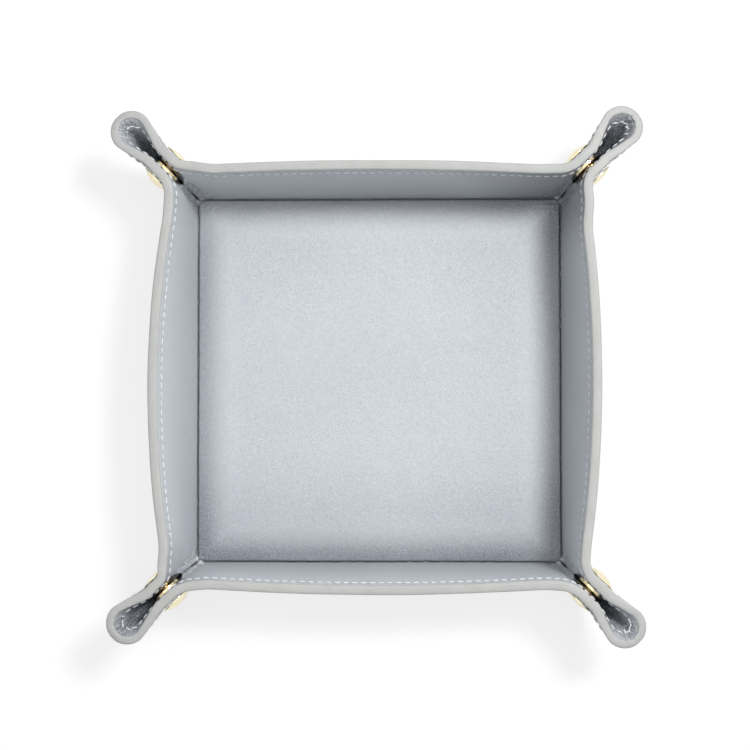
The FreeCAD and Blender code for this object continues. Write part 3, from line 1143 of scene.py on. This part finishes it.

# %% [markdown]
# ## The seam
# A lockstitch runs all round, 3.4 mm below the rim: one row on the lining, one on the outer leather. Hundreds of
# equal stitches are a job for Geometry Nodes. The tree takes a path, works out how many stitches fit, sets one
# small grain of thread at the middle of each step and turns it along the path. The same tree, with other sizes
# and half a step later, sets small dark grains between them: painted shadow that stands for the needle holes.

# %% The stitch tree
def stitch_tree():
    tree = bpy.data.node_groups.new("stitch_row", "GeometryNodeTree")
    sockets = {"Path": "Geometry", "Pitch": "Float", "Phase": "Float", "Size": "Vector", "Finish": "Material"}
    for name, kind in sockets.items():
        tree.interface.new_socket(name=name, in_out="INPUT", socket_type="NodeSocket" + kind)
    tree.interface.new_socket(name="Row", in_out="OUTPUT", socket_type="NodeSocketGeometry")
    nodes = Nodes(tree)
    given = nodes.add("NodeGroupInput").outputs
    length = nodes.add("GeometryNodeCurveLength", {"Curve": given["Path"]}).outputs["Length"]
    count = nodes.math("ROUND", nodes.math("DIVIDE", length, given["Pitch"]), 0)
    points = nodes.add("GeometryNodePoints", {"Count": count}).outputs[0]
    index = nodes.add("GeometryNodeInputIndex").outputs[0]
    factor = nodes.math("DIVIDE", nodes.plus(index, given["Phase"]), count)
    sample_inputs = {"Curves": given["Path"], "Factor": factor}
    sample = nodes.add("GeometryNodeSampleCurve", sample_inputs, mode="FACTOR", use_all_curves=True).outputs
    placed = nodes.add("GeometryNodeSetPosition", {"Geometry": points, "Position": sample["Position"]})
    along = nodes.add("FunctionNodeAlignRotationToVector", {"Vector": sample["Tangent"]}, axis="X")
    grain = nodes.add("GeometryNodeMeshUVSphere", {"Segments": 8, "Rings": 6, "Radius": 0.5})
    stitch_inputs = {"Points": placed.outputs[0], "Instance": grain.outputs["Mesh"],
                     "Rotation": along.outputs[0], "Scale": given["Size"]}
    stitches = nodes.add("GeometryNodeInstanceOnPoints", stitch_inputs)
    real = nodes.add("GeometryNodeRealizeInstances", {"Geometry": stitches.outputs[0]})
    painted_inputs = {"Geometry": real.outputs[0], "Material": given["Finish"]}
    painted = nodes.add("GeometryNodeSetMaterial", painted_inputs)
    nodes.add("NodeGroupOutput", {"Row": painted.outputs[0]})
    return tree


seam_tree = stitch_tree()
tree_sockets = [item for item in seam_tree.interface.items_tree if item.in_out == "INPUT"]
socket_names = {item.name: item.identifier for item in tree_sockets}
print("stitch tree:", len(seam_tree.nodes), "nodes")

# %% [markdown]
# Each piece of a petal gets its own rows, and the rows on a wall ride with the wall. The result of the tree is
# turned into a plain mesh, and the bend weight of the nearest column is worked out for each point.

# %% Rows of stitches
stitch_pitch = 0.0032
stitch_size = (0.0024, 0.00056, 0.00056)
hole_size = (0.00024, 0.00024, 0.00024)
stitch_lift = 0.00036


def line_below_rim(grid, depth):
    """The point of each column that lies the given distance below the rim."""
    heights = below_rim(grid)
    line = np.zeros((len(grid), 3))
    for column in range(len(grid)):
        for axis in range(3):
            line[column, axis] = np.interp(-depth[column], -heights[column], grid[column, :, axis])
    return line


def stitch_row(path, phase, size, finish):
    """Evaluates the stitch tree along a path and returns a plain mesh."""
    curve = bpy.data.curves.new("seam_path", "CURVE")
    curve.dimensions = "3D"
    spline = curve.splines.new("POLY")
    spline.points.add(len(path) - 1)
    spline.points.foreach_set("co", np.column_stack([path, np.ones(len(path))]).ravel())
    holder = bpy.data.objects.new("seam_path", curve)
    scene.collection.objects.link(holder)
    modifier = holder.modifiers.new("stitches", "NODES")
    modifier.node_group = seam_tree
    modifier[socket_names["Pitch"]] = stitch_pitch
    modifier[socket_names["Phase"]] = phase
    modifier[socket_names["Size"]] = size
    modifier[socket_names["Finish"]] = finish
    evaluated = holder.evaluated_get(bpy.context.evaluated_depsgraph_get())
    mesh = bpy.data.meshes.new_from_object(evaluated)
    bpy.data.objects.remove(holder)
    return mesh


def seam_piece(name, rows, material):
    """Joins the rows into one object at the origin."""
    points = []
    faces = []
    for mesh in rows:
        count = len(points)
        points += [tuple(vertex.co) for vertex in mesh.vertices]
        faces += [[corner + count for corner in polygon.vertices] for polygon in mesh.polygons]
        bpy.data.meshes.remove(mesh)
    return new_piece(name, points, faces, material)


def nearest_weights(piece, lines, weights):
    tree = KDTree(len(lines))
    for index, point in enumerate(lines):
        tree.insert(point, index)
    tree.balance()
    return [weights[tree.find(vertex.co)[1]] for vertex in piece.data.vertices]


stitch_total = 0
for turns, faces in enumerate(petals):
    rows = {}
    for layer, side in (("lining", -1), ("outer", 1)):
        normal = outward_normals(faces[layer])
        lifted = faces[layer] + normal * side * stitch_lift
        rows[layer] = line_below_rim(lifted, seam_depth + nose_seam_drop * nose_column)
    for name, first, last, start_body, end_body, weights in petal_pieces(turns):
        columns = slice(first, last + 1)
        paths = [rows["lining"][columns], rows["outer"][columns]]
        for kind, phase, size, finish in (("stitches", 0.5, stitch_size, thread_finish),
                                          ("holes", 0.0, hole_size, hole_painted_shadow_finish)):
            piece = seam_piece(kind + "_" + name, [stitch_row(p, phase, size, finish) for p in paths], finish)
            if weights is None:
                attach(piece, end_body)
            else:
                lines = np.concatenate(paths)
                row_weights = nearest_weights(piece, lines, np.tile(weights[columns], 2))
                bend_between(piece)
            stitch_total += len(piece.data.polygons)
print("seam faces:", stitch_total)

# %% [markdown]
# ## Press-studs
# A press-stud is four turned and pressed pieces: a domed cap with a rolled edge, a socket ring, a stud that
# clicks into it and a flatter back cap. A lathe profile spun round the stud's axis gives each one, as on the
# real press tool. We spin points ourselves so that the pole stays closed and the axis can lie across the pinch.

# %% Lathe
snap_reach = 0.10902
snap_height = 0.028
spin_steps = 56
sharp_angle = math.radians(35)


def across_pinch(along, aside, up):
    """Points of the first corner, from places along and across its diagonal."""
    return np.column_stack([(along - aside) * diagonal_share, (along + aside) * diagonal_share, up])


def spin(name, profile, turns, side, finish):
    """Closed piece spun from (radius, height) points; the first and last lie on the axis."""
    ring_points = np.array(profile[1:-1])
    angle = np.arange(spin_steps) * 2 * math.pi / spin_steps
    rings = []
    for radius, height in ring_points:
        aside = np.full(spin_steps, side * height)
        up = snap_height + radius * np.sin(angle)
        rings.append(across_pinch(snap_reach + radius * np.cos(angle), aside, up))
    pole_heights = np.array([profile[0][1], profile[-1][1]])
    rings.append(across_pinch(np.full(2, snap_reach), side * pole_heights, np.full(2, snap_height)))
    points = turn_quarter(np.concatenate(rings), turns)
    index = np.arange(len(ring_points) * spin_steps).reshape(-1, spin_steps)
    looped = np.concatenate([index, index[:, :1]], axis=1)
    faces = grid_quads(looped).tolist()
    first_pole = index.size
    for step in range(spin_steps):
        faces.append([first_pole, int(looped[0, step + 1]), int(looped[0, step])])
        faces.append([first_pole + 1, int(looped[-1, step]), int(looped[-1, step + 1])])
    if side < 0:
        faces = [face[::-1] for face in faces]
    piece = new_piece(name, points.tolist(), faces, finish)
    piece.data.set_sharp_from_angle(angle=sharp_angle)
    return piece


print("lathe ready,", spin_steps, "steps round")

# %% [markdown]
# The profiles start and end on the axis. Heights are counted outwards from the middle of the pinch. Both rings
# have the same rolled flange; the socket has a bore and the stud a head on a neck. Sixteen pieces come out.

# %% Profiles of the press-stud
ring_face = 0.001342
ring_roll = 0.0002
ring_radius = 0.00525
cap_under = 0.005392
dome_steps = 12


def arc_points(radius, base, rise):
    """Points of a low dome from its edge to the axis."""
    ball = (radius * radius + rise * rise) / (2 * rise)
    edge = math.asin(radius / ball)
    angles = [edge * (1 - step / dome_steps) for step in range(dome_steps + 1)]
    return [(ball * math.sin(angle), base + rise - ball + ball * math.cos(angle)) for angle in angles]


def cap_profile(radius, rise):
    edge = 0.0005
    roll = 0.00025
    top = cap_under + edge
    lip = [(0, cap_under), (radius - edge, cap_under), (radius - roll / 2, cap_under + roll / 3),
           (radius, cap_under + roll), (radius, top - roll / 3), (radius - roll / 2, top), (radius - edge, top)]
    return lip + arc_points(radius - edge, top, rise)


def flange(front):
    """The rim of a ring, from the axis behind it out and round to its front."""
    return [(0, ring_face), (ring_radius - ring_roll, ring_face), (ring_radius, ring_face - ring_roll),
            (ring_radius, front + ring_roll), (ring_radius - ring_roll, front)]


def socket_profile(front, bore):
    floor_height = ring_face - 0.0004
    return flange(front) + [(bore + ring_roll, front), (bore, front + ring_roll), (bore, floor_height),
                            (0, floor_height)]


def stud_profile(front):
    neck = 0.0016
    head = 0.0019
    length = 0.0013
    tip = front - length
    under = front - length / 2
    return flange(front) + [(neck, front), (neck, under), (head, under - ring_roll), (head, tip + ring_roll),
                            (head - ring_roll, tip), (0, tip)]


stud_pieces = {
    "cap": (cap_profile(radius=0.00625, rise=0.0017), 1, "cap", cap_finish),
    "socket": (socket_profile(front=ring_face - 0.0013, bore=0.0025), 1, "cap", ring_painted_shade_finish),
    "stud": (stud_profile(front=ring_face - 0.0007), -1, "stud", stud_painted_shade_finish),
    "post": (cap_profile(radius=0.0058, rise=0.001), -1, "stud", cap_finish),
}
for turns, corner in enumerate(corner_names):
    for part_name, (profile, side, half, finish) in stud_pieces.items():
        piece = spin("gold_" + corner + "_" + part_name, profile, turns, side, finish)
        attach(piece, "flap_" + corner + "_" + half)
        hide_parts("snap_" + corner + "_" + part_name)
print("stud pieces:", len(corner_names) * len(stud_pieces))

# %% [markdown]
# ## The boards inside
# The stiffener boards are hidden between the leathers. Their CAD shape is right, so they stay as they are and
# only get the pulp finish.

# %% Board finish
for name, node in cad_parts.items():
    if name.endswith("_board"):
        node.data.materials.clear()
        node.data.materials.append(board_finish)
print("boards:", sum(name.endswith("_board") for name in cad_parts))

# %% [markdown]
# ## Floor and light
# The tray was photographed from above on white, under soft light. The floor is a pale sheet that looks white to
# the camera and still takes the tray's shadow. We could light it until it is white, but then it would throw
# that light back at the tray, so it glows only for rays that see it directly.

# %% Floor
floor_glow = 0.75
floor_reach = 3.0
floor_level = -0.0002


def seen_directly(nodes):
    """1 for rays from the camera, a reflection or glass, 0 for rays that carry light to the object."""
    rays = nodes.add("ShaderNodeLightPath").outputs
    seen = nodes.math("MAXIMUM", rays["Is Camera Ray"], rays["Is Glossy Ray"])
    return nodes.math("MAXIMUM", seen, rays["Is Transmission Ray"])


def pale_floor():
    nodes = Finish("white_floor")
    return nodes.shade({
        "Base Color": (0.3, 0.3, 0.3, 1),
        "Roughness": 0.9,
        "Emission Color": (1, 1, 1, 1),
        "Emission Strength": nodes.times(seen_directly(nodes), floor_glow),
    })


floor_sides = ((-1, -1), (1, -1), (1, 1), (-1, 1))
floor_corners = [(x * floor_reach, y * floor_reach, floor_level) for x, y in floor_sides]
floor = new_piece("floor", floor_corners, [(0, 1, 2, 3)], pale_floor())
print("floor:", 2 * floor_reach, "m wide")

# %% [markdown]
# A large panel overhead gives the even light of a studio. A smaller one at the upper right makes the left and
# front walls brighter and puts glints on the metal, and a soft sky fills the shadows.

# %% Light
def soft_panel(name, place, size, watts):
    lamp = bpy.data.lights.new(name, "AREA")
    lamp.shape = "SQUARE"
    lamp.size = size
    lamp.energy = watts
    panel = bpy.data.objects.new(name, lamp)
    panel.location = place
    panel.rotation_euler = (Vector((0, 0, 0)) - Vector(place)).to_track_quat("-Z", "Y").to_euler()
    scene.collection.objects.link(panel)
    return panel


soft_panel("overhead_panel", place=(-0.1, 0.05, 1.2), size=1.6, watts=6.7)
soft_panel("upper_right_panel", place=(0.55, 0.43, 1.1), size=0.28, watts=10)
sky_light = 0.1
world = bpy.data.worlds.new("soft_sky")
scene.world = world
world.use_nodes = True
sky = world.node_tree.nodes["Background"]
sky.inputs["Color"].default_value = (1.0, 1.0, 1.0, 1)
sky_nodes = Nodes(world.node_tree)
sky_strength = sky_nodes.spread(seen_directly(sky_nodes), 0.0, 1.0, sky_light, 1.0)
sky_nodes.feed(sky.inputs["Strength"], sky_strength)
scene.view_settings.view_transform = "Standard"

# %% [markdown]
# ## Camera
# The camera looks down from about 0.67 m above the rim, a little to the right and to the front of the middle,
# so the left and back walls show more of their inside.

# %% Camera
field_of_view = math.radians(22.7)
camera_data = bpy.data.cameras.new("camera")
camera_data.sensor_width = 36
camera_data.lens = camera_data.sensor_width / 2 / math.tan(field_of_view / 2)
camera = bpy.data.objects.new("camera", camera_data)
camera.location = (0.019, -0.026, 0.711)
aim = Vector((-0.0005, 0.0005, rim_height))
ahead = (aim - camera.location).normalized()
rightward = ahead.cross(Vector((0, 1, 0))).normalized()
turned = Matrix((rightward, rightward.cross(ahead), -ahead)).transposed()
camera.rotation_euler = turned.to_euler()
scene.collection.objects.link(camera)
scene.camera = camera
print("camera lens:", round(camera_data.lens, 1), "mm")
